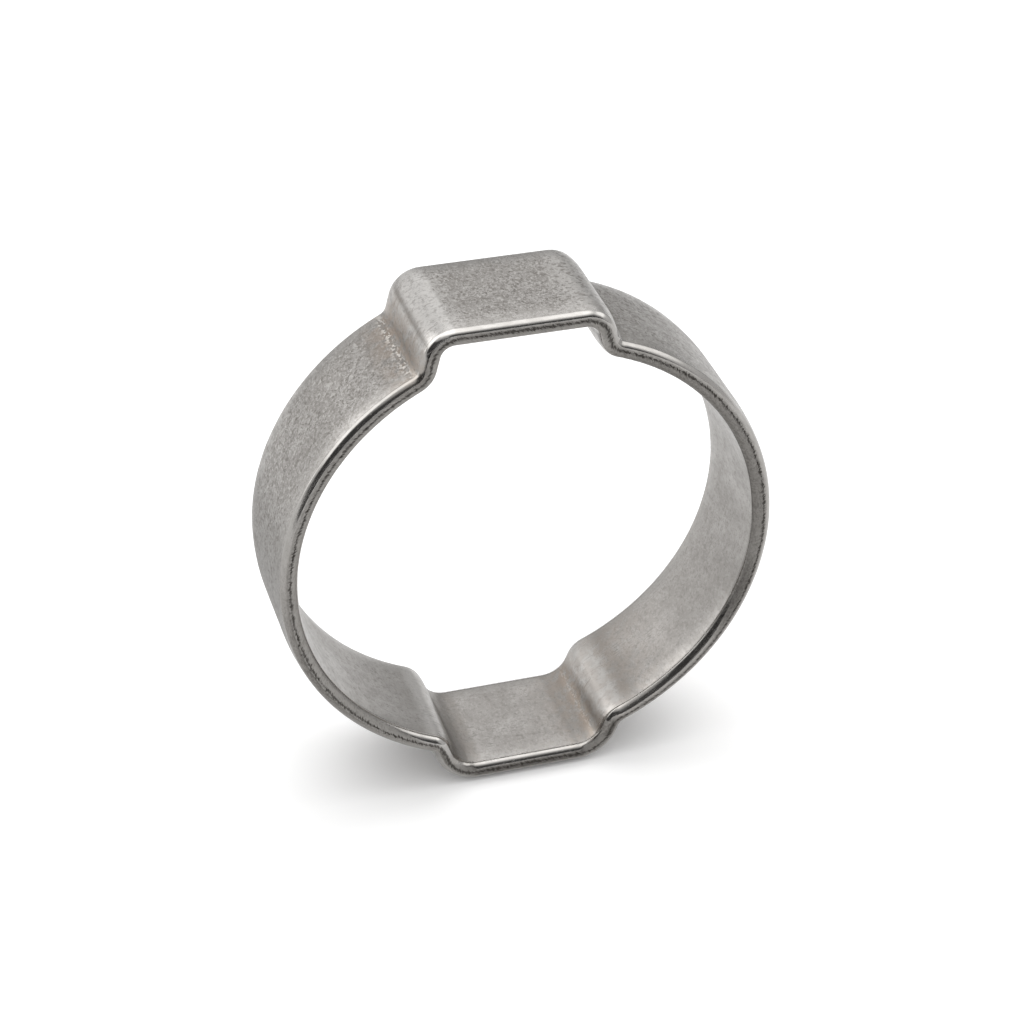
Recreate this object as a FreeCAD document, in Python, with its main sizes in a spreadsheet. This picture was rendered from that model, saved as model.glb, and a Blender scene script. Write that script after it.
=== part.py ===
import FreeCAD, Part
import math
import os
import Sketcher

# Two-ear hose clamp: one closed steel band with rolled edges, drawn out into an ear at the top and
# another at the bottom. The bore runs along Y, the ears stand along Z, and the origin is the centre
# of the bore. Lengths are in millimetres and angles in degrees.

os.makedirs("parts", exist_ok=True)
doc = FreeCAD.newDocument("two_ear_hose_clamp")

# Driving dimensions. Bend radii, rises and flats are measured on the middle of the sheet.
SIZES = {
    "bore_diameter": 28.0,
    "half_shift_right": 0.26,
    "half_shift_down": 0.19,
    "band_width": 8.2,
    "band_thickness": 1.35,
    "outer_edge_round": 0.55,
    "inner_edge_round": 0.5,
    "top_ear_rise": 1.32,
    "top_ear_flat": 7.8,
    "top_ear_shift": -0.94,
    "top_ear_slope": 13.2,
    "top_ear_corner": 1.42,
    "top_ear_foot": 1.25,
    "bottom_ear_rise": 1.36,
    "bottom_ear_flat": 6.66,
    "bottom_ear_shift": 0.2,
    "bottom_ear_slope": 21.1,
    "bottom_ear_corner": 2.22,
    "bottom_ear_foot": 1.29,
}
sheet = doc.addObject("Spreadsheet::Sheet", "sizes")
for row, (name, value) in enumerate(SIZES.items(), start=1):
    sheet.set(f"A{row}", name)
    sheet.set(f"B{row}", str(value))
    sheet.setAlias(f"B{row}", name)
doc.recompute()


# Sketch helpers
def origin_plane(body, role):
    return next(plane for plane in body.Origin.OriginFeatures if plane.Role == role)


def new_sketch(body, name, role):
    sketch = body.newObject("Sketcher::SketchObject", name)
    sketch.AttachmentSupport = [(origin_plane(body, role), "")]
    sketch.MapMode = "FlatFace"
    return sketch


def bind(sketch, constraint, name, expression):
    number = sketch.addConstraint(constraint)
    sketch.renameConstraint(number, name)
    sketch.setExpression(f"Constraints.{name}", expression)


def add_line(sketch, first, last):
    """Returns the line's number and which of its ends are its first and its last."""
    return sketch.addGeometry(Part.LineSegment(first, last), False), 1, 2


def add_arc(sketch, centre, first, last, clockwise):
    """An arc is stored counter-clockwise, so one that runs clockwise has its ends swapped."""
    def angle(point):
        return math.atan2(point.y - centre.y, point.x - centre.x)

    circle = Part.Circle(centre, FreeCAD.Vector(0, 0, 1), first.distanceToPoint(centre))
    if clockwise:
        return sketch.addGeometry(Part.ArcOfCircle(circle, angle(last), angle(first)), False), 2, 1
    return sketch.addGeometry(Part.ArcOfCircle(circle, angle(first), angle(last)), False), 1, 2


def join_smoothly(sketch, pieces):
    """Each piece runs into the next without a corner, and the last into the first."""
    for piece, following in zip(pieces, pieces[1:] + pieces[:1]):
        sketch.addConstraint(
            Sketcher.Constraint("Tangent", piece[0], piece[2], following[0], following[1]))


# The ring is two half circles of one radius, sprung slightly out of line with each other: the right
# half's centre lies a little to the right and down, and the left half's as far to the left and up.
mean_radius = (SIZES["bore_diameter"] + SIZES["band_thickness"]) / 2
right_centre = FreeCAD.Vector(SIZES["half_shift_right"], -SIZES["half_shift_down"], 0)
left_centre = -right_centre


def ear_side(ear, side, up, ring_centre):
    """The points of one side of an ear, from its flat down the wall to the ring.

    side is 1 for the right and -1 for the left, and up is 1 for the top ear and -1 for the bottom one.
    The points are worked out for the right side of the top ear, and mirrored to their place.
    """
    slope = math.radians(SIZES[f"{ear}_ear_slope"])
    corner = SIZES[f"{ear}_ear_corner"]
    foot = SIZES[f"{ear}_ear_foot"]
    roof = mean_radius + SIZES[f"{ear}_ear_rise"]
    flat_half = side * SIZES[f"{ear}_ear_shift"] + SIZES[f"{ear}_ear_flat"] / 2
    outward = FreeCAD.Vector(math.cos(slope), math.sin(slope), 0)
    downward = FreeCAD.Vector(math.sin(slope), -math.cos(slope), 0)
    ring = FreeCAD.Vector(side * ring_centre.x, up * ring_centre.y, 0)
    flat_end = FreeCAD.Vector(flat_half, roof, 0)
    corner_centre = FreeCAD.Vector(flat_half, roof - corner, 0)
    wall_top = corner_centre + outward * corner
    reach = outward.dot(wall_top - ring) + foot
    drop = math.sqrt((mean_radius + foot) ** 2 - reach ** 2)
    foot_centre = ring + outward * reach - downward * drop
    wall_end = foot_centre - outward * foot
    ring_end = ring + (foot_centre - ring) * (mean_radius / (mean_radius + foot))
    points = (flat_end, corner_centre, wall_top, wall_end, foot_centre, ring_end)
    return [FreeCAD.Vector(side * point.x, up * point.y, 0) for point in points]


def draw_side(sketch, points, leaving):
    """Corner, wall and foot of an ear, in the order in which the outline runs clockwise."""
    flat_end, corner_centre, wall_top, wall_end, foot_centre, ring_end = points
    if leaving:
        return [
            add_arc(sketch, corner_centre, flat_end, wall_top, True),
            add_line(sketch, wall_top, wall_end),
            add_arc(sketch, foot_centre, wall_end, ring_end, False),
        ]
    return [
        add_arc(sketch, foot_centre, ring_end, wall_end, False),
        add_line(sketch, wall_end, wall_top),
        add_arc(sketch, corner_centre, wall_top, flat_end, True),
    ]


band = doc.addObject("PartDesign::Body", "clamp_band")
band.Label = "clamp_band"

# Path: the middle line of the sheet, seen along the bore and drawn clockwise from the top ear
path = new_sketch(band, "band_path", "XZ_Plane")
top_right = ear_side("top", 1, 1, right_centre)
bottom_right = ear_side("bottom", 1, -1, right_centre)
bottom_left = ear_side("bottom", -1, -1, left_centre)
top_left = ear_side("top", -1, 1, left_centre)

top_flat = add_line(path, top_left[0], top_right[0])
top_right_side = draw_side(path, top_right, True)
right_half = add_arc(path, right_centre, top_right[5], bottom_right[5], True)
bottom_right_side = draw_side(path, bottom_right, False)
bottom_flat = add_line(path, bottom_right[0], bottom_left[0])
bottom_left_side = draw_side(path, bottom_left, True)
left_half = add_arc(path, left_centre, bottom_left[5], top_left[5], True)
top_left_side = draw_side(path, top_left, False)
join_smoothly(path, [top_flat, *top_right_side, right_half, *bottom_right_side,
                     bottom_flat, *bottom_left_side, left_half, *top_left_side])

# The two halves of the ring
ORIGIN = (-1, 1)
CENTRE = 3
RING_RADIUS = "(sizes.bore_diameter + sizes.band_thickness) / 2"
bind(path, Sketcher.Constraint("Radius", right_half[0], mean_radius), "ring_radius", RING_RADIUS)
path.addConstraint(Sketcher.Constraint("Equal", right_half[0], left_half[0]))
bind(path, Sketcher.Constraint("DistanceX", *ORIGIN, right_half[0], CENTRE, right_centre.x),
     "right_centre_x", "sizes.half_shift_right")
bind(path, Sketcher.Constraint("DistanceY", *ORIGIN, right_half[0], CENTRE, right_centre.y),
     "right_centre_z", "-sizes.half_shift_down")
path.addConstraint(
    Sketcher.Constraint("Symmetric", right_half[0], CENTRE, left_half[0], CENTRE, *ORIGIN))


def size_ear(sketch, ear, up, flat, leaving, arriving):
    """Height, flat, place, bends and slopes of one ear, bound to its own cells.

    leaving is the side on which the outline leaves the ear's flat, and arriving the side on which it
    comes back. Along the bottom ear both run the other way, so its signs turn round with up.
    """
    roof = mean_radius + SIZES[f"{ear}_ear_rise"]
    flat_length = SIZES[f"{ear}_ear_flat"]
    flat_start = SIZES[f"{ear}_ear_shift"] - up * flat_length / 2
    slope = SIZES[f"{ear}_ear_slope"]
    sketch.addConstraint(Sketcher.Constraint("Horizontal", flat[0]))
    bind(sketch, Sketcher.Constraint("DistanceY", *ORIGIN, flat[0], 1, up * roof),
         f"{ear}_roof", f"{up} * ({RING_RADIUS} + sizes.{ear}_ear_rise)")
    bind(sketch, Sketcher.Constraint("DistanceX", *ORIGIN, flat[0], 1, flat_start),
         f"{ear}_flat_start", f"sizes.{ear}_ear_shift - {up} * sizes.{ear}_ear_flat / 2")
    bind(sketch, Sketcher.Constraint("DistanceX", flat[0], 1, flat[0], 2, up * flat_length),
         f"{ear}_flat", f"{up} * sizes.{ear}_ear_flat")
    leaving_corner, leaving_wall, leaving_foot = leaving
    arriving_foot, arriving_wall, arriving_corner = arriving
    bind(sketch, Sketcher.Constraint("Radius", leaving_corner[0], SIZES[f"{ear}_ear_corner"]),
         f"{ear}_corner", f"sizes.{ear}_ear_corner")
    bind(sketch, Sketcher.Constraint("Radius", leaving_foot[0], SIZES[f"{ear}_ear_foot"]),
         f"{ear}_foot", f"sizes.{ear}_ear_foot")
    sketch.addConstraint(Sketcher.Constraint("Equal", leaving_corner[0], arriving_corner[0]))
    sketch.addConstraint(Sketcher.Constraint("Equal", leaving_foot[0], arriving_foot[0]))
    bind(sketch, Sketcher.Constraint("Angle", leaving_wall[0], math.radians(slope - 90 * up)),
         f"{ear}_leaving_wall", f"sizes.{ear}_ear_slope - {90 * up}")
    bind(sketch, Sketcher.Constraint("Angle", arriving_wall[0], math.radians(90 * up - slope)),
         f"{ear}_arriving_wall", f"{90 * up} - sizes.{ear}_ear_slope")


size_ear(path, "top", 1, top_flat, top_right_side, top_left_side)
size_ear(path, "bottom", -1, bottom_flat, bottom_left_side, bottom_right_side)

# Section: the sheet's thickness and width, with its four edges rolled over. It stands on the middle
# of the top ear's flat.
section = new_sketch(band, "band_section", "YZ_Plane")
section.AttachmentOffset = FreeCAD.Placement(
    FreeCAD.Vector(0, 0, SIZES["top_ear_shift"]), FreeCAD.Rotation())
section.setExpression("AttachmentOffset.Base.z", "sizes.top_ear_shift")
half_width = SIZES["band_width"] / 2
top_roof = mean_radius + SIZES["top_ear_rise"]
outside = top_roof + SIZES["band_thickness"] / 2
inside = top_roof - SIZES["band_thickness"] / 2


def draw_section_half(sketch, side):
    """One edge face of the sheet with its two rolled edges, at the front (-1) or the rear (1).

    Returns the outer roll, the edge face and the inner roll, each running inwards.
    """
    outer_round = SIZES["outer_edge_round"]
    inner_round = SIZES["inner_edge_round"]
    outer_centre = FreeCAD.Vector(side * (half_width - outer_round), outside - outer_round, 0)
    inner_centre = FreeCAD.Vector(side * (half_width - inner_round), inside + inner_round, 0)
    across = FreeCAD.Vector(side, 0, 0)
    through = FreeCAD.Vector(0, 1, 0)
    outer_roll = add_arc(sketch, outer_centre, outer_centre + through * outer_round,
                         outer_centre + across * outer_round, side > 0)
    edge_face = add_line(sketch, outer_centre + across * outer_round, inner_centre + across * inner_round)
    inner_roll = add_arc(sketch, inner_centre, inner_centre + across * inner_round,
                         inner_centre - through * inner_round, side > 0)
    return outer_roll, edge_face, inner_roll


def backwards(piece):
    return piece[0], piece[2], piece[1]


rear_outer, rear_edge, rear_inner = draw_section_half(section, 1)
front_outer, front_edge, front_inner = draw_section_half(section, -1)
inner_face = add_line(section, FreeCAD.Vector(half_width - SIZES["inner_edge_round"], inside, 0),
                      FreeCAD.Vector(SIZES["inner_edge_round"] - half_width, inside, 0))
outer_face = add_line(section, FreeCAD.Vector(SIZES["outer_edge_round"] - half_width, outside, 0),
                      FreeCAD.Vector(half_width - SIZES["outer_edge_round"], outside, 0))
join_smoothly(section, [outer_face, rear_outer, rear_edge, rear_inner, inner_face,
                        backwards(front_inner), backwards(front_edge), backwards(front_outer)])
for face in (outer_face, inner_face):
    section.addConstraint(Sketcher.Constraint("Horizontal", face[0]))
for edge in (rear_edge, front_edge):
    section.addConstraint(Sketcher.Constraint("Vertical", edge[0]))
section.addConstraint(Sketcher.Constraint("Equal", rear_outer[0], front_outer[0]))
section.addConstraint(Sketcher.Constraint("Equal", rear_inner[0], front_inner[0]))
bind(section, Sketcher.Constraint("Radius", rear_outer[0], SIZES["outer_edge_round"]),
     "outer_edge_round", "sizes.outer_edge_round")
bind(section, Sketcher.Constraint("Radius", rear_inner[0], SIZES["inner_edge_round"]),
     "inner_edge_round", "sizes.inner_edge_round")
bind(section, Sketcher.Constraint("DistanceX", *ORIGIN, rear_edge[0], 1, half_width),
     "rear_edge_y", "sizes.band_width / 2")
bind(section, Sketcher.Constraint("DistanceX", front_edge[0], 1, rear_edge[0], 1, 2 * half_width),
     "width", "sizes.band_width")
bind(section, Sketcher.Constraint("DistanceY", *ORIGIN, outer_face[0], 1, outside),
     "outside_z", f"{RING_RADIUS} + sizes.top_ear_rise + sizes.band_thickness / 2")
bind(section, Sketcher.Constraint("DistanceY", inner_face[0], 1, outer_face[0], 1, outside - inside),
     "thickness", "sizes.band_thickness")

# The band itself: the section taken round the path, as a strip is bent round its forming tool
bent_band = band.newObject("PartDesign::AdditivePipe", "bent_band")
bent_band.Profile = section
bent_band.Spine = path
doc.recompute()

# Check and export
for item in doc.Objects:
    if "Invalid" in item.State or "Error" in item.State:
        raise RuntimeError(f"{item.Label} did not build: {item.State}")
if band.Shape.isNull() or not band.Shape.isValid():
    raise RuntimeError(f"{band.Label} has no valid shape")
if len(band.Shape.Solids) != 1:
    raise RuntimeError(f"{band.Label} has {len(band.Shape.Solids)} solids instead of one")
band.Shape.exportStep(f"parts/{band.Label}.step")
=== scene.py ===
import math

import bpy
from mathutils import Matrix, Vector, noise


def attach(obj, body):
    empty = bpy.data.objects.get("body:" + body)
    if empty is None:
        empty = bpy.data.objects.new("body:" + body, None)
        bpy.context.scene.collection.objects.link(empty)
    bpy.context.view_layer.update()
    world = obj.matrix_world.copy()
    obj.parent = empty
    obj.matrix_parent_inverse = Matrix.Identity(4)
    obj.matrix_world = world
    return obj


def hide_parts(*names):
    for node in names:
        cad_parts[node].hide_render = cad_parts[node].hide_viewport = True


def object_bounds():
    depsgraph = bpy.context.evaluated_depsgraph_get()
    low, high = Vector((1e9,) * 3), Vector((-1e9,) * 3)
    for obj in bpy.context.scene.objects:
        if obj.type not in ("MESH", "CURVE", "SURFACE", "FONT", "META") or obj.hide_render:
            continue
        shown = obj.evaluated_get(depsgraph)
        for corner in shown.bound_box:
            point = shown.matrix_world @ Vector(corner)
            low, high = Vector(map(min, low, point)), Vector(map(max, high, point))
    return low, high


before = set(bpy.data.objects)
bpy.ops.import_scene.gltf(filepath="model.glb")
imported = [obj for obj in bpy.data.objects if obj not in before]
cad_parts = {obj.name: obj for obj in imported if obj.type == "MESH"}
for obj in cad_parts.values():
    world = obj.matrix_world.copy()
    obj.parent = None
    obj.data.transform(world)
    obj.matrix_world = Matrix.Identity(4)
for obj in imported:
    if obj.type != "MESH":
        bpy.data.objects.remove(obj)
solid_low, solid_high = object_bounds()

# The band
# One strip of pickled mild steel, closed into a ring, with its four edges rolled over and two ears
# drawn out of it in a press. Its edge faces keep a ragged crack where the strip was sheared.
# Sizes are in millimetres and degrees, on the middle of the sheet, as in the solid model.
MM = 0.001
bore = 28.0
half_shift = Vector((0.26, -0.19))
width = 8.2
thickness = 1.35
top_ear = dict(up=1, rise=1.32, flat=7.8, shift=-0.94, slope=13.2, corner=1.42, foot=1.25)
bottom_ear = dict(up=-1, rise=1.36, flat=6.66, shift=0.2, slope=21.1, corner=2.22, foot=1.29)
ring_radius = (bore + thickness) / 2
station_step = 0.097


def mirrored(point, side, up):
    return Vector((side * point.x, up * point.y))


def ear_side(ear, side):
    """Corner, wall and foot of the right (1) or left (-1) side of an ear, from its flat to the ring."""
    slope = math.radians(ear["slope"])
    corner, foot = ear["corner"], ear["foot"]
    roof = ring_radius + ear["rise"]
    ring = mirrored(half_shift * side, side, ear["up"])
    outward = Vector((math.cos(slope), math.sin(slope)))
    downward = Vector((math.sin(slope), -math.cos(slope)))
    flat_end = Vector((side * ear["shift"] + ear["flat"] / 2, roof))
    corner_centre = flat_end - Vector((0, corner))
    wall_top = corner_centre + outward * corner
    reach = outward.dot(wall_top - ring) + foot
    drop = math.sqrt((ring_radius + foot) ** 2 - reach ** 2)
    foot_centre = ring + outward * reach - downward * drop
    wall_end = foot_centre - outward * foot
    ring_end = ring + (foot_centre - ring) * (ring_radius / (ring_radius + foot))
    points = dict(flat_end=flat_end, corner_centre=corner_centre, wall_top=wall_top,
                  wall_end=wall_end, foot_centre=foot_centre, ring_end=ring_end)
    return {name: mirrored(point, side, ear["up"]) for name, point in points.items()}


def straight(first, last, bend):
    """A straight run of the strip: its length, the place and direction at a share of it, its name."""
    along = (last - first).normalized()
    return (last - first).length, lambda share: (first.lerp(last, share), along), bend


def curve(centre, first, last, turn, bend):
    """The same for a round run of the strip, which turns right (-1) or left (1) about a centre."""
    radius = (first - centre).length
    start = math.atan2(first.y - centre.y, first.x - centre.x)
    end = math.atan2(last.y - centre.y, last.x - centre.x)
    sweep = (turn * (end - start)) % math.tau

    def place(share):
        angle = start + turn * sweep * share
        spoke = Vector((math.cos(angle), math.sin(angle)))
        return centre + spoke * radius, Vector((-spoke.y, spoke.x)) * turn

    return radius * sweep, place, bend


def side_runs(points, leaving, name):
    """The bends and the wall of one side of an ear, in the order of a clockwise walk."""
    corner_ends = points["flat_end"], points["wall_top"]
    foot_ends = points["wall_end"], points["ring_end"]
    if leaving:
        return [curve(points["corner_centre"], *corner_ends, -1, name + "_corner"),
                straight(points["wall_top"], points["wall_end"], name + "_wall"),
                curve(points["foot_centre"], *foot_ends, 1, name + "_foot")]
    return [curve(points["foot_centre"], *foot_ends[::-1], 1, name + "_foot"),
            straight(points["wall_end"], points["wall_top"], name + "_wall"),
            curve(points["corner_centre"], *corner_ends[::-1], -1, name + "_corner")]


top_right = ear_side(top_ear, 1)
top_left = ear_side(top_ear, -1)
bottom_right = ear_side(bottom_ear, 1)
bottom_left = ear_side(bottom_ear, -1)
runs = [straight(top_left["flat_end"], top_right["flat_end"], "top_roof")]
runs += side_runs(top_right, True, "top_right")
runs += [curve(half_shift, top_right["ring_end"], bottom_right["ring_end"], -1, "right_half")]
runs += side_runs(bottom_right, False, "bottom_right")
runs += [straight(bottom_right["flat_end"], bottom_left["flat_end"], "bottom_roof")]
runs += side_runs(bottom_left, True, "bottom_left")
runs += [curve(-half_shift, bottom_left["ring_end"], top_left["ring_end"], -1, "left_half")]
runs += side_runs(top_left, False, "top_left")
strip_length = sum(length for length, place, bend in runs)

# The walk along the strip has a station every small step. Each has its place, its outward direction,
# and how far along the strip it lies. Each bend's two ends are kept in the same measure.
stations = []
bend_ends = {}
travelled = 0.0
for length, place, bend in runs:
    bend_ends[bend] = travelled, travelled + length
    count = max(2, round(length / station_step))
    for number in range(count):
        point, along = place(number / count)
        stations.append(dict(point=point, out=Vector((-along.y, along.x)),
                             along=travelled + length * number / count))
    travelled += length

# The strip's edges
# A slitting shear leaves a rough flat face along each edge of the strip, with a small corner on either
# side of it. The corners between that face and the two broad faces are rolled over, more so inside,
# and the broad faces dip a little towards the rolls.
outer_roll = 0.55
inner_roll = 0.66
sheared_corner = 0.2
outer_crown = 2.3
inner_crown = 2.4
inner_flat = 2.5
crown_points, roll_points, corner_points = 4, 11, 3


def even(first, last, count):
    return [first + (last - first) * number / count for number in range(count + 1)]


def edge_profile(roll, crown, dip_slope, roll_end):
    """One face's dip, roll and corner, from its crown to the sheared face, as (across, in, slope)."""
    first, last = math.radians(dip_slope), math.radians(roll_end)
    corner_across = sheared_corner * (1 - math.sin(last))
    across = width / 2 - corner_across - roll * (math.sin(last) - math.sin(first))
    dip = math.tan(first) * (across - crown) / 2
    points = [(crown + (across - crown) * share, dip * share ** 2, first * share)
              for share in even(0.0, 1.0, crown_points)[:-1]]
    for radius, start, end, count in ((roll, first, last, roll_points),
                                      (sheared_corner, last, math.radians(90), corner_points)):
        for angle in even(start, end, count)[0 if radius == roll else 1:]:
            points.append((across + radius * (math.sin(angle) - math.sin(start)),
                           dip + radius * (math.cos(start) - math.cos(angle)), angle))
        across, dip, angle = points[-1]
    return points


def quarter(side, face, rear):
    """The outer (1) or inner (-1) face's profile at the front (-1) or the rear (1) edge."""
    return [(rear * across, face * (half - dip), rear * math.sin(angle), face * math.cos(angle))
            for across, dip, angle in side]


# The section is walked round once, from the front end of the outer face. A point of it is its place
# across the width and through the thickness, and its outward direction in the same two measures.
half = thickness / 2
outer_side = edge_profile(outer_roll, outer_crown, dip_slope=9.5, roll_end=74)
inner_side = edge_profile(inner_roll, inner_crown, dip_slope=7, roll_end=76)
sheared_face = even(half - outer_side[-1][1], inner_side[-1][1] - half, 5)[1:-1]
rear_flat = [(width / 2, through, 1.0, 0.0) for through in sheared_face]
front_flat = [(-width / 2, through, -1.0, 0.0) for through in sheared_face]
outer_face = [(across, half, 0.0, 1.0) for across in even(-outer_crown, outer_crown, 7)[1:-1]]
inner_face = [(across, -half, 0.0, -1.0) for across in even(inner_flat, -inner_flat, 6)[1:-1]]
section = (outer_face + quarter(outer_side, 1, 1) + rear_flat + quarter(inner_side, -1, 1)[::-1]
           + inner_face + quarter(inner_side, -1, -1) + front_flat[::-1]
           + quarter(outer_side, 1, -1)[::-1])

# The crack, the wear and the painted light
# Where the shear let go, each edge face has a ragged crack, a wandering groove of short leaning tears
# that widens over the ears. A bend's hollow side holds dirt and painted shade, and its full side is
# rubbed and carries a painted highlight. The rolled edges carry painted dark reflections in places,
# and there are pits and a brown stain at the top ear's left foot and the bottom ear's right corner.
# The crack wanders by two ripples, each with a height, a size along the strip and a seed.
crack_middle = -0.03
crack_wander = ((0.030, 2.4, 3.1), (0.022, 0.4, 7.3))
crack_shift_top, crack_shift_low_right, crack_shift_low_ear = 0.075, 0.035, -0.03
crack_half_width = 0.07
ear_widening = 0.03
left_widening = 0.012
crack_depth = 0.04
tear_lean = 0.8
tear_size = 0.14
shear_roughness = 0.016
face_unevenness = 0.006
least_inset = 0.003
no_crack = 9.0
dust_reach = 0.22
edge_depth = 0.6
matte_start_outside, matte_start_inside, matte_start_last = 0.88, 0.60, 0.93
matte_fade = 0.1
lip_reach = 0.10
# Where the rolls begin to carry a painted dark reflection.
soot_start, soot_fade = 0.30, 0.2
rolled_outside, rolled_inside = 0.30, 0.35
hairline_outside, hairline_inside = 0.18, 0.15
hairline_width, hairline_share = 0.10, 0.35


def nearness(station, bend, reach):
    """1 in the named bend, and falling smoothly to 0 at a reach away from it along the strip."""
    first, last = bend_ends[bend]
    gap = min(abs(station["along"] - first), abs(station["along"] - last))
    gap = min(gap, strip_length - gap)
    if first <= station["along"] <= last:
        return 1.0
    share = max(0.0, 1 - gap / reach)
    return share * share * (3 - 2 * share)


def nearest(station, bends, reach):
    return max(nearness(station, bend, reach) for bend in bends)


def close_to(station, place, reach):
    """1 at a place along the strip, fading within about a reach on both sides of it."""
    gap = abs(station["along"] - place)
    return math.exp(-(min(gap, strip_length - gap) / reach) ** 2)


def climb(value, start, reach):
    """0 up to a start, and rising evenly to 1 within a reach beyond it."""
    return min(1.0, max(0.0, (value - start) / reach))


def ripple(along, size, seed):
    """Smooth noise along the strip, from -1 to 1, that closes on itself."""
    angle = math.tau * along / strip_length
    turn_radius = strip_length / math.tau / size
    return noise.noise(Vector((math.cos(angle) * turn_radius, math.sin(angle) * turn_radius, seed)))


def unrolled(along, through, lean):
    """The strip laid round a circle of its own length, so that no pattern on it has a seam."""
    angle = math.tau * (along + lean * through) / strip_length
    return Vector((math.cos(angle), math.sin(angle), 0)) * (strip_length / math.tau)


corners = [bend for bend in bend_ends if bend.endswith("_corner")]
feet = [bend for bend in bend_ends if bend.endswith("_foot")]
low_ear_sides = "bottom_roof", "bottom_left_wall", "bottom_right_wall"
right_first, right_last = bend_ends["right_half"]
left_first, left_last = bend_ends["left_half"]
pit_row = bend_ends["top_left_foot"][0] - 0.12
# Painted shade: a dark line near the top left ear's foot and one at the top of its wall.
foot_line = bend_ends["top_left_foot"][0] + 0.92
wall_line = bend_ends["top_left_corner"][0] + 0.50
# A painted highlight patch on the top left ear's corner.
bright_patch = bend_ends["top_left_corner"][0] + 1.25
brown_line = bend_ends["bottom_right_corner"][0] + 0.9
# A place inside, near the right half's lower end, that is painted darker.
dull_place = right_last - 1.1
# The middle of a painted dark reflection on the right half's inner roll.
dark_place = right_first + 0.67 * (right_last - right_first)
left_low = left_first + 0.32 * (left_last - left_first)
left_shade_middle = (left_first + left_last) / 2 - 3.0


def outer_wear(station):
    """How rubbed, stained and pitted the outer face is at a station, with a painted highlight on the
    corners.
    """
    rubbed = 0.5 * nearest(station, corners, 1.6) + 0.8 * close_to(station, bright_patch, 1.0)
    return dict(rubbed=min(1.0, rubbed), stained=nearness(station, "top_left_foot", 2.2),
                pitted=close_to(station, pit_row, 0.26))


def inner_wear(station):
    """The same for the inner face, with a painted highlight on the feet."""
    stained = (0.5 * close_to(station, brown_line, 0.65)
               + 0.2 * nearness(station, "bottom_right_corner", 1.0)
               + 0.2 * nearness(station, "bottom_left_corner", 0.6)
               + 0.4 * nearness(station, "bottom_right_foot", 7.0))
    return dict(rubbed=0.7 * nearest(station, feet, 0.9), stained=min(1.0, stained),
                pitted=0.25 * close_to(station, brown_line, 0.25))


def crack_line(along, edge, shift, widening, spread):
    """The crack's middle and half width on the front (-1) or the rear (1) edge face."""
    middle = crack_middle + shift
    for height, size, seed in crack_wander:
        middle += height * ripple(along, size, seed * edge)
    half_width = crack_half_width * (1 + 0.5 * ripple(along, 0.9, 11.7 * edge))
    half_width += widening
    half_width += ear_widening * spread * (0.9 + 0.5 * ripple(along, 0.7, 5.9 * edge))
    return middle, half_width


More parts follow.
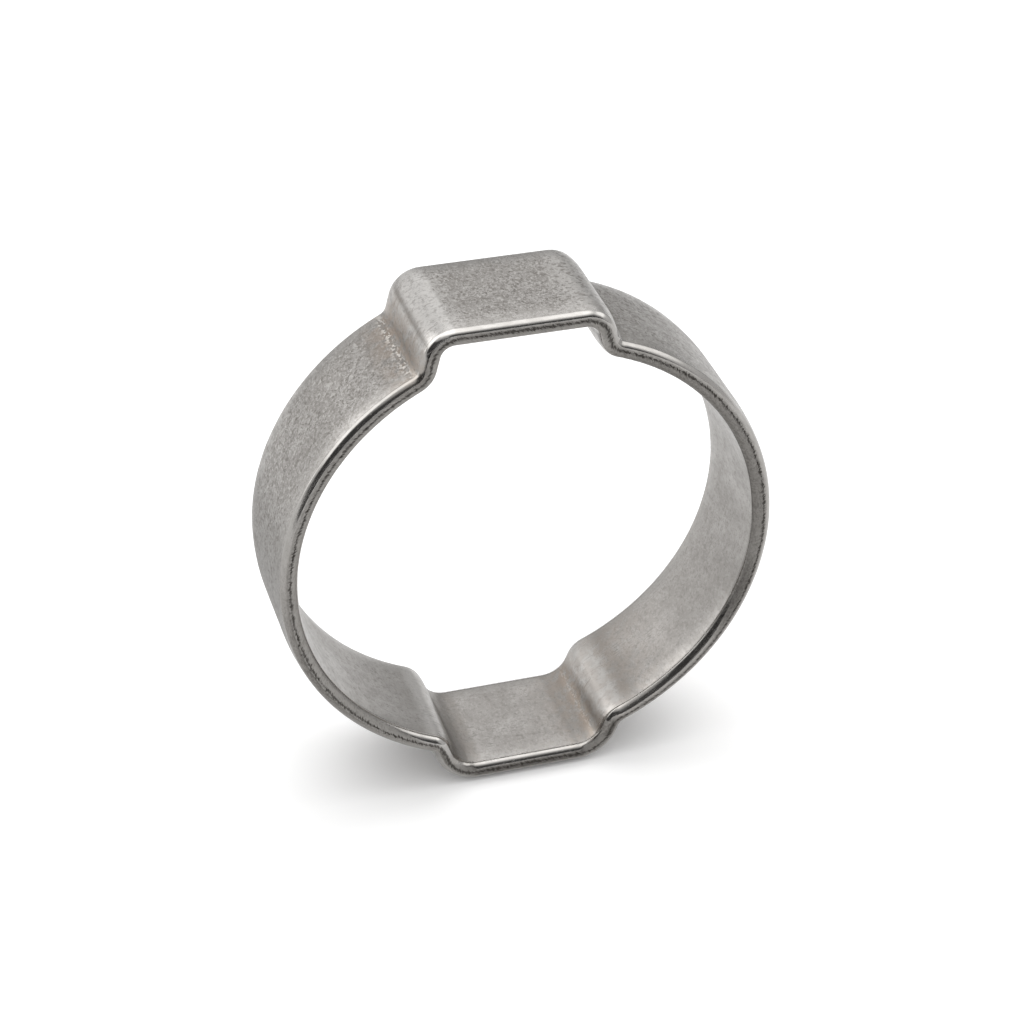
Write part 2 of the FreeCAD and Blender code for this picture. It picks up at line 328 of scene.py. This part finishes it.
# Each mark is a number, or for the first two a place, that the steel reads at every point. A slant is
# how far across the width the steel faces there: 0 on a broad face and 1 on a sheared face. Along the
# inner edges the matt sheared surface starts at a slant that differs from place to place.
vertices = []
marks = {name: [] for name in ("unbent", "torn", "crack_place", "crack_width", "dusty", "on_edge",
                               "sooty", "rolled", "scored", "outside", "rubbed", "soiled", "stained",
                               "pitted")}
for station in stations:
    point, out, along = station["point"], station["out"], station["along"]
    corner_bend, foot_bend = nearest(station, corners, 0.5), nearest(station, feet, 0.5)
    low_ear = nearest(station, low_ear_sides, 0.6)
    high_ear = nearness(station, "top_roof", 0.6)
    right_side = nearness(station, "right_half", 1.0)
    low_share = climb((along - right_first) / (right_last - right_first), 0.48, 0.30)
    low_right, high_right = right_side * low_share, right_side * (1 - low_share)
    low_left = close_to(station, left_low, 6.5)

    spread = max(0.8 * corner_bend, 0.8 * foot_bend, low_ear, high_ear)
    shift = (crack_shift_top * max(high_ear, right_side) + crack_shift_low_right * low_right
             + crack_shift_low_ear * low_ear)
    cracks = {edge: crack_line(along, edge, shift, left_widening * low_left, spread)
              for edge in (-1, 1)}
    matte_start = matte_start_inside - 0.36 * high_right + 0.33 * low_right + 0.25 * low_ear
    matte_start += 0.33 * nearness(station, "bottom_left_foot", 4.0)
    matte_start = min(matte_start_last, matte_start)

    # A painted dark reflection on the inner roll, there and along the bottom right wall.
    dark_roll = max(close_to(station, dark_place, 3.5), nearness(station, "bottom_right_wall", 0.7))
    lip_share = 0.9 * max(high_right, low_left)
    # Painted shade: dark lines at the top left ear's foot and wall top, and a darker wall and lower
    # left face. Inside, one place is painted darker.
    foot_dirt = close_to(station, foot_line, 0.20)
    wall_dirt = 0.9 * close_to(station, wall_line, 0.13)
    side_dirt = 0.6 * nearness(station, "top_left_wall", 0.3)
    left_shade = 0.42 * close_to(station, left_shade_middle, 7.0)
    inner_dirt = 0.45 * close_to(station, dull_place, 0.8)
    wear_outside, wear_inside = outer_wear(station), inner_wear(station)

    for across, through, out_across, out_through in section:
        outside = through > 0
        slant = abs(out_across)
        middle, half_width = cracks[1 if across > 0 else -1]
        edge_share, roll_share = 0.0, 0.0
        if abs(across) > width / 2 - edge_depth:
            edge_start = matte_start_outside if out_through > 0 else matte_start
            edge_share = climb(slant, edge_start, matte_fade)
            roll_share = climb(slant, soot_start, soot_fade)

        torn = unrolled(along, through, tear_lean) + Vector((0, 0, across + 0.35 * through))
        tear = noise.noise(torn / tear_size)
        groove = math.exp(-((through - middle) / half_width) ** 2)
        inset = crack_depth * max(0.0, 0.6 + 1.8 * tear) * groove * edge_share
        inset += shear_roughness * (0.5 + tear) * edge_share
        bumpy = 1 + noise.noise(Vector((out.x * 9, out.y * 9, across * 0.7)))
        inset = max(0.0, inset + face_unevenness * bumpy) + least_inset
        spoke = point + out * (through - out_through * inset)
        vertices.append((spoke.x * MM, (across - out_across * inset) * MM, spoke.y * MM))

        marks["unbent"].append(unrolled(along, 0, 0) + Vector((0, 0, across + 3 * through)))
        marks["torn"].append(torn)
        marks["crack_place"].append(through - middle if edge_share > 0 else no_crack)
        marks["crack_width"].append(half_width)
        marks["dusty"].append(spread * edge_share * math.exp(-((through - middle) / dust_reach) ** 2))
        marks["on_edge"].append(edge_share)

        # Edge faces painted darker over the bottom ear and on their inner half at the upper right, and
        # a painted dark reflection on the outer roll at the lower left and on the inner roll at the
        # lower right.
        edge_soot = edge_share * max(low_ear, 0.62 * high_right if through < middle else 0.0)
        roll_soot = roll_share * (low_left if out_through > 0 else dark_roll)
        marks["sooty"].append(max(edge_soot, roll_soot))
        full_roll = rolled_outside if outside else rolled_inside
        marks["rolled"].append(min(1.0, slant / full_roll) * (1 - edge_share))

        lip = 0.0 if outside else lip_share * math.exp(-((slant - matte_start) / lip_reach) ** 2)
        hairline = 0.0
        hairline_start = hairline_outside if outside else hairline_inside
        if hairline_start < slant < hairline_start + hairline_width:
            hairline = hairline_share * (right_side if outside else 1 - high_ear)
        marks["scored"].append(max(lip, hairline))

        # Painted shade and dirt: darker on each bend's hollow side, with the marks above on the
        # outside.
        front_share = 0.6 - 0.1 * across
        dirt = front_share * foot_dirt + wall_dirt + side_dirt + left_shade if outside else inner_dirt
        marks["soiled"].append(min(1.0, 0.5 * (foot_bend if outside else corner_bend) + dirt))
        marks["outside"].append(1.0 if outside else 0.0)
        for name, share in (wear_outside if outside else wear_inside).items():
            marks[name].append(share)

round_count, across_count = len(stations), len(section)
faces = []
for number in range(round_count):
    following = (number + 1) % round_count
    for place in range(across_count):
        beside = (place + 1) % across_count
        faces.append((number * across_count + place, number * across_count + beside,
                      following * across_count + beside, following * across_count + place))
band_mesh = bpy.data.meshes.new("clamp_band_steel")
band_mesh.from_pydata(vertices, [], faces)
band_mesh.shade_smooth()
for name, values in marks.items():
    if name in ("unbent", "torn"):
        attribute = band_mesh.attributes.new(name, "FLOAT_VECTOR", "POINT")
        attribute.data.foreach_set("vector", [number for value in values for number in value])
    else:
        band_mesh.attributes.new(name, "FLOAT", "POINT").data.foreach_set("value", values)
band = bpy.data.objects.new("clamp_band_steel", band_mesh)
bpy.context.scene.collection.objects.link(band)
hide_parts("clamp_band")
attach(band, "root")

# The strip's steel
# A warm grey satin with a fine grain from pickling, small dark pits, and short faint scratches along
# the strip. The rolled edges are burnished, and the crack holds dirt. The bends hold dirt and painted
# shade and carry painted highlights, parts of the rolls carry painted dark reflections, and parts of
# the edge faces are painted darker.
# Colours go from the ground of the steel outwards, in the order in which they are laid on.
ground_dark, ground_light = (0.305, 0.291, 0.276), (0.368, 0.353, 0.338)
mottled = (0.215, 0.202, 0.188)
# Rubbed steel and painted highlights.
rubbed_bright = (0.62, 0.607, 0.59)
fleck_light, fleck_dark = (0.53, 0.515, 0.495), (0.18, 0.166, 0.152)
worm_dark = (0.12, 0.11, 0.10)
speck_light, speck_dark = (0.50, 0.485, 0.465), (0.19, 0.179, 0.167)
dot_black = (0.11, 0.10, 0.09)
scratch_dark = (0.15, 0.141, 0.13)
# The colour of painted shade and dirt.
soil_dark = (0.15, 0.14, 0.127)
stain_brown = (0.245, 0.200, 0.163)
pit_rim = (0.62, 0.59, 0.55)
rolled_grey = (0.42, 0.408, 0.392)
sheared_grey = (0.38, 0.365, 0.346)
# Darker edge faces, and painted dark reflections on the rolls.
soot_grey, soot_black = (0.165, 0.156, 0.145), (0.09, 0.083, 0.075)
dust_grey = (0.15, 0.141, 0.130)
tear_dark = (0.12, 0.112, 0.102)
score_black = (0.06, 0.056, 0.051)
crack_black = (0.070, 0.063, 0.055)

steel = bpy.data.materials.new("pickled_steel")
steel.use_nodes = True
nodes = steel.node_tree.nodes
links = steel.node_tree.links
shader = nodes["Principled BSDF"]
shader.inputs["Metallic"].default_value = 1.0


def read_mark(name, output="Fac"):
    mark = nodes.new("ShaderNodeAttribute")
    mark.attribute_name = name
    return mark.outputs[output]


def scaled(vector, x, y, z):
    mapping = nodes.new("ShaderNodeMapping")
    mapping.inputs["Scale"].default_value = (x, y, z)
    links.new(vector, mapping.inputs["Vector"])
    return mapping.outputs["Vector"]


def grain(vector, size, detail, roughness=0.5):
    texture = nodes.new("ShaderNodeTexNoise")
    texture.inputs["Scale"].default_value = 1 / size
    texture.inputs["Detail"].default_value = detail
    texture.inputs["Roughness"].default_value = roughness
    links.new(vector, texture.inputs["Vector"])
    return texture.outputs["Fac"]


def ramp(value, low, high, from_value=0.0, to_value=1.0):
    node = nodes.new("ShaderNodeMapRange")
    node.interpolation_type = "SMOOTHSTEP"
    node.inputs["From Min"].default_value = low
    node.inputs["From Max"].default_value = high
    node.inputs["To Min"].default_value = from_value
    node.inputs["To Max"].default_value = to_value
    links.new(value, node.inputs["Value"])
    return node.outputs["Result"]


def sums(kind, first, second=0.0):
    node = nodes.new("ShaderNodeMath")
    node.operation = kind
    for socket, value in zip(node.inputs, (first, second)):
        if isinstance(value, (int, float)):
            socket.default_value = value
        else:
            links.new(value, socket)
    return node.outputs["Value"]


def both(first, second):
    return sums("MULTIPLY", first, second)


def tinted(share, first, second):
    node = nodes.new("ShaderNodeMix")
    node.data_type = "RGBA"
    links.new(share, node.inputs["Factor"])
    for socket, value in ((node.inputs[6], first), (node.inputs[7], second)):
        if isinstance(value, tuple):
            socket.default_value = (*value, 1.0)
        else:
            links.new(value, socket)
    return node.outputs[2]


def raised(height, strength, distance, below=None):
    node = nodes.new("ShaderNodeBump")
    node.inputs["Strength"].default_value = strength
    node.inputs["Distance"].default_value = distance
    links.new(height, node.inputs["Height"])
    if below is not None:
        links.new(below, node.inputs["Normal"])
    return node.outputs["Normal"]


strip_place, tear_place = read_mark("unbent", "Vector"), read_mark("torn", "Vector")
edge_mark, roll_mark, rub_mark = read_mark("on_edge"), read_mark("rolled"), read_mark("rubbed")
outer_mark, soot_mark, width_mark = read_mark("outside"), read_mark("sooty"), read_mark("crack_width")
outer_share = ramp(outer_mark, 0.0, 1.0, 0.45, 1.0)
unrolled_share = ramp(roll_mark, 0.2, 1.0, 1.0, 0.08)
grainy = both(ramp(outer_mark, 0.0, 1.0, 0.3, 1.0), unrolled_share)
grainy = both(grainy, ramp(rub_mark, 0.3, 1.0, 1.0, 0.45))

patches = grain(strip_place, 2.6, 2.0)
mottle = grain(strip_place, 0.70, 4.0, 0.62)
flecks = grain(strip_place, 0.26, 3.0, 0.6)
specks = grain(strip_place, 0.11, 2.0, 0.6)
bright_flecks = grain(scaled(strip_place, 1.1, 1.1, 0.9), 0.20, 2.0)
streaks = grain(scaled(strip_place, 0.09, 0.09, 1), 0.075, 2.0)
worms = sums("ABSOLUTE", sums("SUBTRACT", grain(strip_place, 0.34, 1.0), 0.5))
worms = both(ramp(worms, 0.004, 0.030, 1.0, 0.0), ramp(flecks, 0.47, 0.58))
dots = both(ramp(specks, 0.58, 0.63), ramp(patches, 0.40, 0.60, 0.15, 1.0))
stain = both(read_mark("stained"), ramp(mottle, 0.36, 0.58))
pits = both(both(read_mark("pitted"), unrolled_share), ramp(grain(strip_place, 0.20, 1.0), 0.50, 0.58))

tears = grain(scaled(tear_place, 1, 1, 1.6), 0.11, 2.0, 0.6)
breaks = grain(scaled(tear_place, 1, 1, 0.8), 0.30, 2.0, 0.6)
ragged = sums("ADD", read_mark("crack_place"), both(sums("SUBTRACT", breaks, 0.5), 0.12))
ragged = sums("ADD", sums("ABSOLUTE", ragged), both(sums("SUBTRACT", tears, 0.47), 0.62))
in_crack = ramp(sums("SUBTRACT", ragged, width_mark), -0.05, 0.03, 1.0, 0.0)

# Each coat is where it lies and its colour, and each rise is its height, strength and depth in mm.
coats = [
    (both(outer_share, ramp(mottle, 0.34, 0.60, 0.6, 0.0)), mottled),
    # Rubbed steel, with painted highlights on the corners outside and on the feet inside.
    (both(rub_mark, 0.6), rubbed_bright),
    (both(grainy, ramp(bright_flecks, 0.52, 0.66, 0.0, 0.55)), fleck_light),
    (both(grainy, ramp(flecks, 0.53, 0.62, 0.0, 0.7)), fleck_dark),
    (both(grainy, both(worms, 0.75)), worm_dark),
    (both(grainy, ramp(specks, 0.46, 0.66, 0.0, 0.35)), speck_dark),
    (both(grainy, both(dots, 0.7)), dot_black),
    (both(grainy, ramp(specks, 0.32, 0.46, 0.28, 0.0)), speck_light),
    (both(ramp(streaks, 0.57, 0.70), ramp(patches, 0.45, 0.62, 0.0, 0.6)), scratch_dark),
    # Painted shade and dirt in the bends' hollows, on the top left ear and on the lower left face.
    (both(read_mark("soiled"), ramp(mottle, 0.3, 0.6, 0.6, 0.85)), soil_dark),
    (both(stain, 0.75), stain_brown),
    (both(pits, 0.8), pit_rim),
    (both(roll_mark, 0.5), rolled_grey),
    (both(edge_mark, ramp(tears, 0.32, 0.62, 0.7, 0.95)), sheared_grey),
    # Darker edge faces, and painted dark reflections on the rolls.
    (both(soot_mark, ramp(tears, 0.35, 0.6, 0.95, 0.7)), soot_grey),
    (both(soot_mark, ramp(bright_flecks, 0.50, 0.58, 0.0, 0.5)), soot_black),
    (both(read_mark("dusty"), ramp(tears, 0.35, 0.6, 0.75, 0.35)), dust_grey),
    (both(edge_mark, ramp(tears, 0.50, 0.66, 0.0, 0.4)), tear_dark),
    (both(read_mark("scored"), 0.85), score_black),
    (both(in_crack, ramp(width_mark, 0.05, 0.10, 0.9, 0.65)), crack_black),
]
colour = tinted(ramp(patches, 0.36, 0.64), ground_dark, ground_light)
for share, coat in coats:
    colour = tinted(share, colour, coat)
links.new(colour, shader.inputs["Base Color"])

dull = ramp(mottle, 0.3, 0.7, 0.42, 0.34)
dull = sums("ADD", dull, ramp(flecks, 0.5, 0.7, 0.0, 0.10))
dull = sums("SUBTRACT", dull, both(roll_mark, 0.20))
dull = sums("SUBTRACT", dull, both(rub_mark, 0.05))
dull = sums("ADD", dull, both(edge_mark, 0.14))
dull = sums("ADD", dull, both(in_crack, 0.2))
links.new(dull, shader.inputs["Roughness"])

rises = [
    (both(both(mottle, unrolled_share), outer_share), 0.6, 0.020),
    (both(flecks, grainy), 0.6, 0.018),
    (both(specks, grainy), 0.5, 0.007),
    (pits, 0.9, 0.03),
    (both(tears, edge_mark), 0.8, 0.03),
    (both(in_crack, -1.0), 0.8, 0.03),
]
relief = None
for height, strength, depth in rises:
    relief = raised(height, strength, depth * MM, relief)
links.new(relief, shader.inputs["Normal"])
band_mesh.materials.append(steel)

# The floor
# A white table top that the clamp stands on. What it shows the camera and the steel is lifted to
# white. Close under the clamp, where little of the room is open above it, it isn't lifted, so the
# clamp's shadow stays dark there.
floor_level = solid_low.z
floor_reach = 3.0
table_grey = 0.95
table_roughness = 0.9
shade_reach = 20 * MM
shaded, open_above = 0.33, 0.77
camera_lift = 0.28
mirror_lift = 0.15


def seen_by(*rays):
    """1 for a ray of one of the named kinds, and 0 for any other."""
    path = nodes.new("ShaderNodeLightPath")
    seen = path.outputs[rays[0]]
    for ray in rays[1:]:
        seen = sums("MAXIMUM", seen, path.outputs[ray])
    return seen


floor_corners = [(-1, -1), (1, -1), (1, 1), (-1, 1)]
floor_mesh = bpy.data.meshes.new("table_top")
floor_mesh.from_pydata([(x * floor_reach, y * floor_reach, floor_level) for x, y in floor_corners],
                       [], [(0, 1, 2, 3)])
floor = bpy.data.objects.new("table_top", floor_mesh)
bpy.context.scene.collection.objects.link(floor)

table_white = bpy.data.materials.new("table_white")
table_white.use_nodes = True
nodes = table_white.node_tree.nodes
links = table_white.node_tree.links
table_shader = nodes["Principled BSDF"]
table_shader.inputs["Base Color"].default_value = (table_grey, table_grey, table_grey, 1.0)
table_shader.inputs["Roughness"].default_value = table_roughness
table_shader.inputs["Specular IOR Level"].default_value = 0.0
table_shader.inputs["Emission Color"].default_value = (1.0, 1.0, 1.0, 1.0)
openness = nodes.new("ShaderNodeAmbientOcclusion")
openness.samples = 4
openness.inputs["Distance"].default_value = shade_reach
lift = ramp(openness.outputs["AO"], shaded, open_above, 0.0, camera_lift)
lift = both(lift, seen_by("Is Camera Ray"))
mirrored_lift = both(seen_by("Is Glossy Ray", "Is Transmission Ray"), mirror_lift)
links.new(sums("ADD", mirrored_lift, lift), table_shader.inputs["Emission Strength"])
floor_mesh.materials.append(table_white)

# The light
# A white room with one broad lamp overhead for the shadow. The camera and the steel see the room at
# full white, and it lights the clamp a little less.
room_strength = 0.72
lamp_strength = 1.2
lamp_spread = 70
lamp_tilt = -20

world = bpy.data.worlds.new("white_room")
bpy.context.scene.world = world
world.use_nodes = True
nodes = world.node_tree.nodes
links = world.node_tree.links
background = nodes["Background"]
background.inputs["Color"].default_value = (1.0, 1.0, 1.0, 1.0)
seen = seen_by("Is Camera Ray", "Is Glossy Ray", "Is Transmission Ray")
links.new(sums("ADD", both(seen, 1 - room_strength), room_strength), background.inputs["Strength"])

lamp = bpy.data.lights.new("overhead_lamp", "SUN")
lamp.energy = lamp_strength
lamp.angle = math.radians(lamp_spread)
overhead = bpy.data.objects.new("overhead_lamp", lamp)
overhead.visible_glossy = False
overhead.rotation_euler = (math.radians(lamp_tilt), 0, 0)
bpy.context.scene.collection.objects.link(overhead)

# The tent
# A dome of grey cloth round the clamp, seen by the steel alone, with panels that are bright overhead
# and at both sides and dark at the front, where the camera stands. Azimuths run from the front to the
# right, in degrees, and each panel fades into the cloth within an edge on both sides of its border.
tent_radius = 0.8
tent_grey = 0.70
panel_edge = 5
panels = [
    dict(azimuth=-150, across=35, low=8, high=60, glow=1.02),          # behind, left
    dict(azimuth=140, across=40, low=-10, high=26, glow=0.60),         # behind, right
    dict(azimuth=85, across=30, low=-10, high=28, glow=0.80),          # right, low
    dict(azimuth=88, across=26, low=24, high=50, glow=2.2),            # right, high
    dict(azimuth=158, across=32, low=26, high=58, glow=1.25),          # behind, high
    dict(azimuth=0, across=180, low=58, high=100, glow=2.5, edge=11),  # overhead, all round
    dict(azimuth=-108, across=30, low=16, high=70, glow=2.5),          # left, high
    dict(azimuth=-116, across=12, low=-10, high=13, glow=2.2),         # left, low
    dict(azimuth=-48, across=32, low=-10, high=38, glow=0.08),         # front, left
    dict(azimuth=16, across=34, low=-10, high=28, glow=0.10),          # front
    dict(azimuth=22, across=24, low=20, high=44, glow=0.10),           # front, high
]
azimuth_count, elevation_count = 120, 46


def rise(value, first, last):
    share = min(1.0, max(0.0, (value - first) / (last - first)))
    return share * share * (3 - 2 * share)


def tent_glow(azimuth, elevation):
    glow = tent_grey
    for panel in panels:
        aside = abs((azimuth - panel["azimuth"] + 180) % 360 - 180)
        edge = panel.get("edge", panel_edge)
        cover = rise(aside, panel["across"] + edge, panel["across"] - edge)
        cover *= rise(elevation, panel["low"] - edge, panel["low"] + edge)
        cover *= rise(elevation, panel["high"] + edge, panel["high"] - edge)
        glow += (panel["glow"] - glow) * cover
    return glow


def shown_to_the_steel(thing):
    """Leaves a thing to the steel's reflections: the camera, the light and the shadows pass it by."""
    thing.visible_camera = False
    thing.visible_shadow = False
    thing.visible_diffuse = False
    thing.visible_transmission = False
    thing.visible_volume_scatter = False


tent_points, tent_glows = [], []
for row in range(elevation_count + 1):
    elevation = 90 * row / elevation_count
    level = tent_radius * math.cos(math.radians(elevation))
    height = floor_level + tent_radius * math.sin(math.radians(elevation))
    for column in range(azimuth_count):
        azimuth = 360 * column / azimuth_count
        tent_points.append((math.sin(math.radians(azimuth)) * level,
                            -math.cos(math.radians(azimuth)) * level, height))
        tent_glows.append(tent_glow(azimuth, elevation))
tent_faces = []
for row in range(elevation_count):
    for column in range(azimuth_count):
        beside = (column + 1) % azimuth_count
        tent_faces.append((row * azimuth_count + column, row * azimuth_count + beside,
                           (row + 1) * azimuth_count + beside, (row + 1) * azimuth_count + column))
tent_mesh = bpy.data.meshes.new("cloth_tent")
tent_mesh.from_pydata(tent_points, [], tent_faces)
tent_mesh.attributes.new("glow", "FLOAT", "POINT").data.foreach_set("value", tent_glows)
tent = bpy.data.objects.new("cloth_tent", tent_mesh)
bpy.context.scene.collection.objects.link(tent)
shown_to_the_steel(tent)

tent_cloth = bpy.data.materials.new("tent_cloth")
tent_cloth.use_nodes = True
nodes = tent_cloth.node_tree.nodes
links = tent_cloth.node_tree.links
nodes.remove(nodes["Principled BSDF"])
glowing = nodes.new("ShaderNodeEmission")
links.new(read_mark("glow"), glowing.inputs["Strength"])
links.new(glowing.outputs["Emission"], nodes["Material Output"].inputs["Surface"])
tent_mesh.materials.append(tent_cloth)

# The cards
# Two sheets of card lie loose on the table, a dark one in front at the viewer's left and a grey one
# behind the clamp's left side. They too are seen by the steel alone.
card_level = floor_level + 0.0002
cards = [dict(name="dark_card", low=(-400, -400), high=(15, -65), grey=0.01),
         dict(name="grey_card", low=(-45, 9), high=(-11, 45), grey=0.76)]
for card in cards:
    (left, front), (right, back) = card["low"], card["high"]
    card_mesh = bpy.data.meshes.new(card["name"])
    card_mesh.from_pydata([(left * MM, front * MM, card_level), (right * MM, front * MM, card_level),
                           (right * MM, back * MM, card_level), (left * MM, back * MM, card_level)],
                          [], [(0, 1, 2, 3)])
    paper = bpy.data.materials.new(card["name"] + "_paper")
    paper.use_nodes = True
    paper_shader = paper.node_tree.nodes["Principled BSDF"]
    paper_shader.inputs["Base Color"].default_value = (card["grey"], card["grey"], card["grey"], 1.0)
    paper_shader.inputs["Specular IOR Level"].default_value = 0.0
    card_mesh.materials.append(paper)
    laid_card = bpy.data.objects.new(card["name"], card_mesh)
    bpy.context.scene.collection.objects.link(laid_card)
    shown_to_the_steel(laid_card)

# The camera
# It looks down on the clamp from the front left, a little turned about its own line of sight. What it
# shows is kept at plain values, without a film's contrast.
camera_azimuth = math.radians(-17.898)
camera_elevation = math.radians(34.364)
camera_roll = math.radians(1.317)
camera_distance = 162.67
camera_lens = 93.093
aim_right, aim_up = -0.013, 0.576
backward = Vector((math.sin(camera_azimuth) * math.cos(camera_elevation),
                   -math.cos(camera_azimuth) * math.cos(camera_elevation), math.sin(camera_elevation)))
level_right = Vector((0, 0, 1)).cross(backward).normalized()
level_up = backward.cross(level_right)
right = level_right * math.cos(camera_roll) + level_up * math.sin(camera_roll)
up = level_up * math.cos(camera_roll) - level_right * math.sin(camera_roll)
camera_data = bpy.data.cameras.new("camera")
camera_data.lens = camera_lens
camera_data.sensor_width = 36.0
camera_data.clip_start = 0.005
camera = bpy.data.objects.new("camera", camera_data)
camera.matrix_world = Matrix((right, up, backward)).transposed().to_4x4()
camera.matrix_world.translation = (right * aim_right + up * aim_up + backward * camera_distance) * MM
bpy.context.scene.collection.objects.link(camera)
bpy.context.scene.camera = camera
bpy.context.scene.view_settings.view_transform = "Standard"
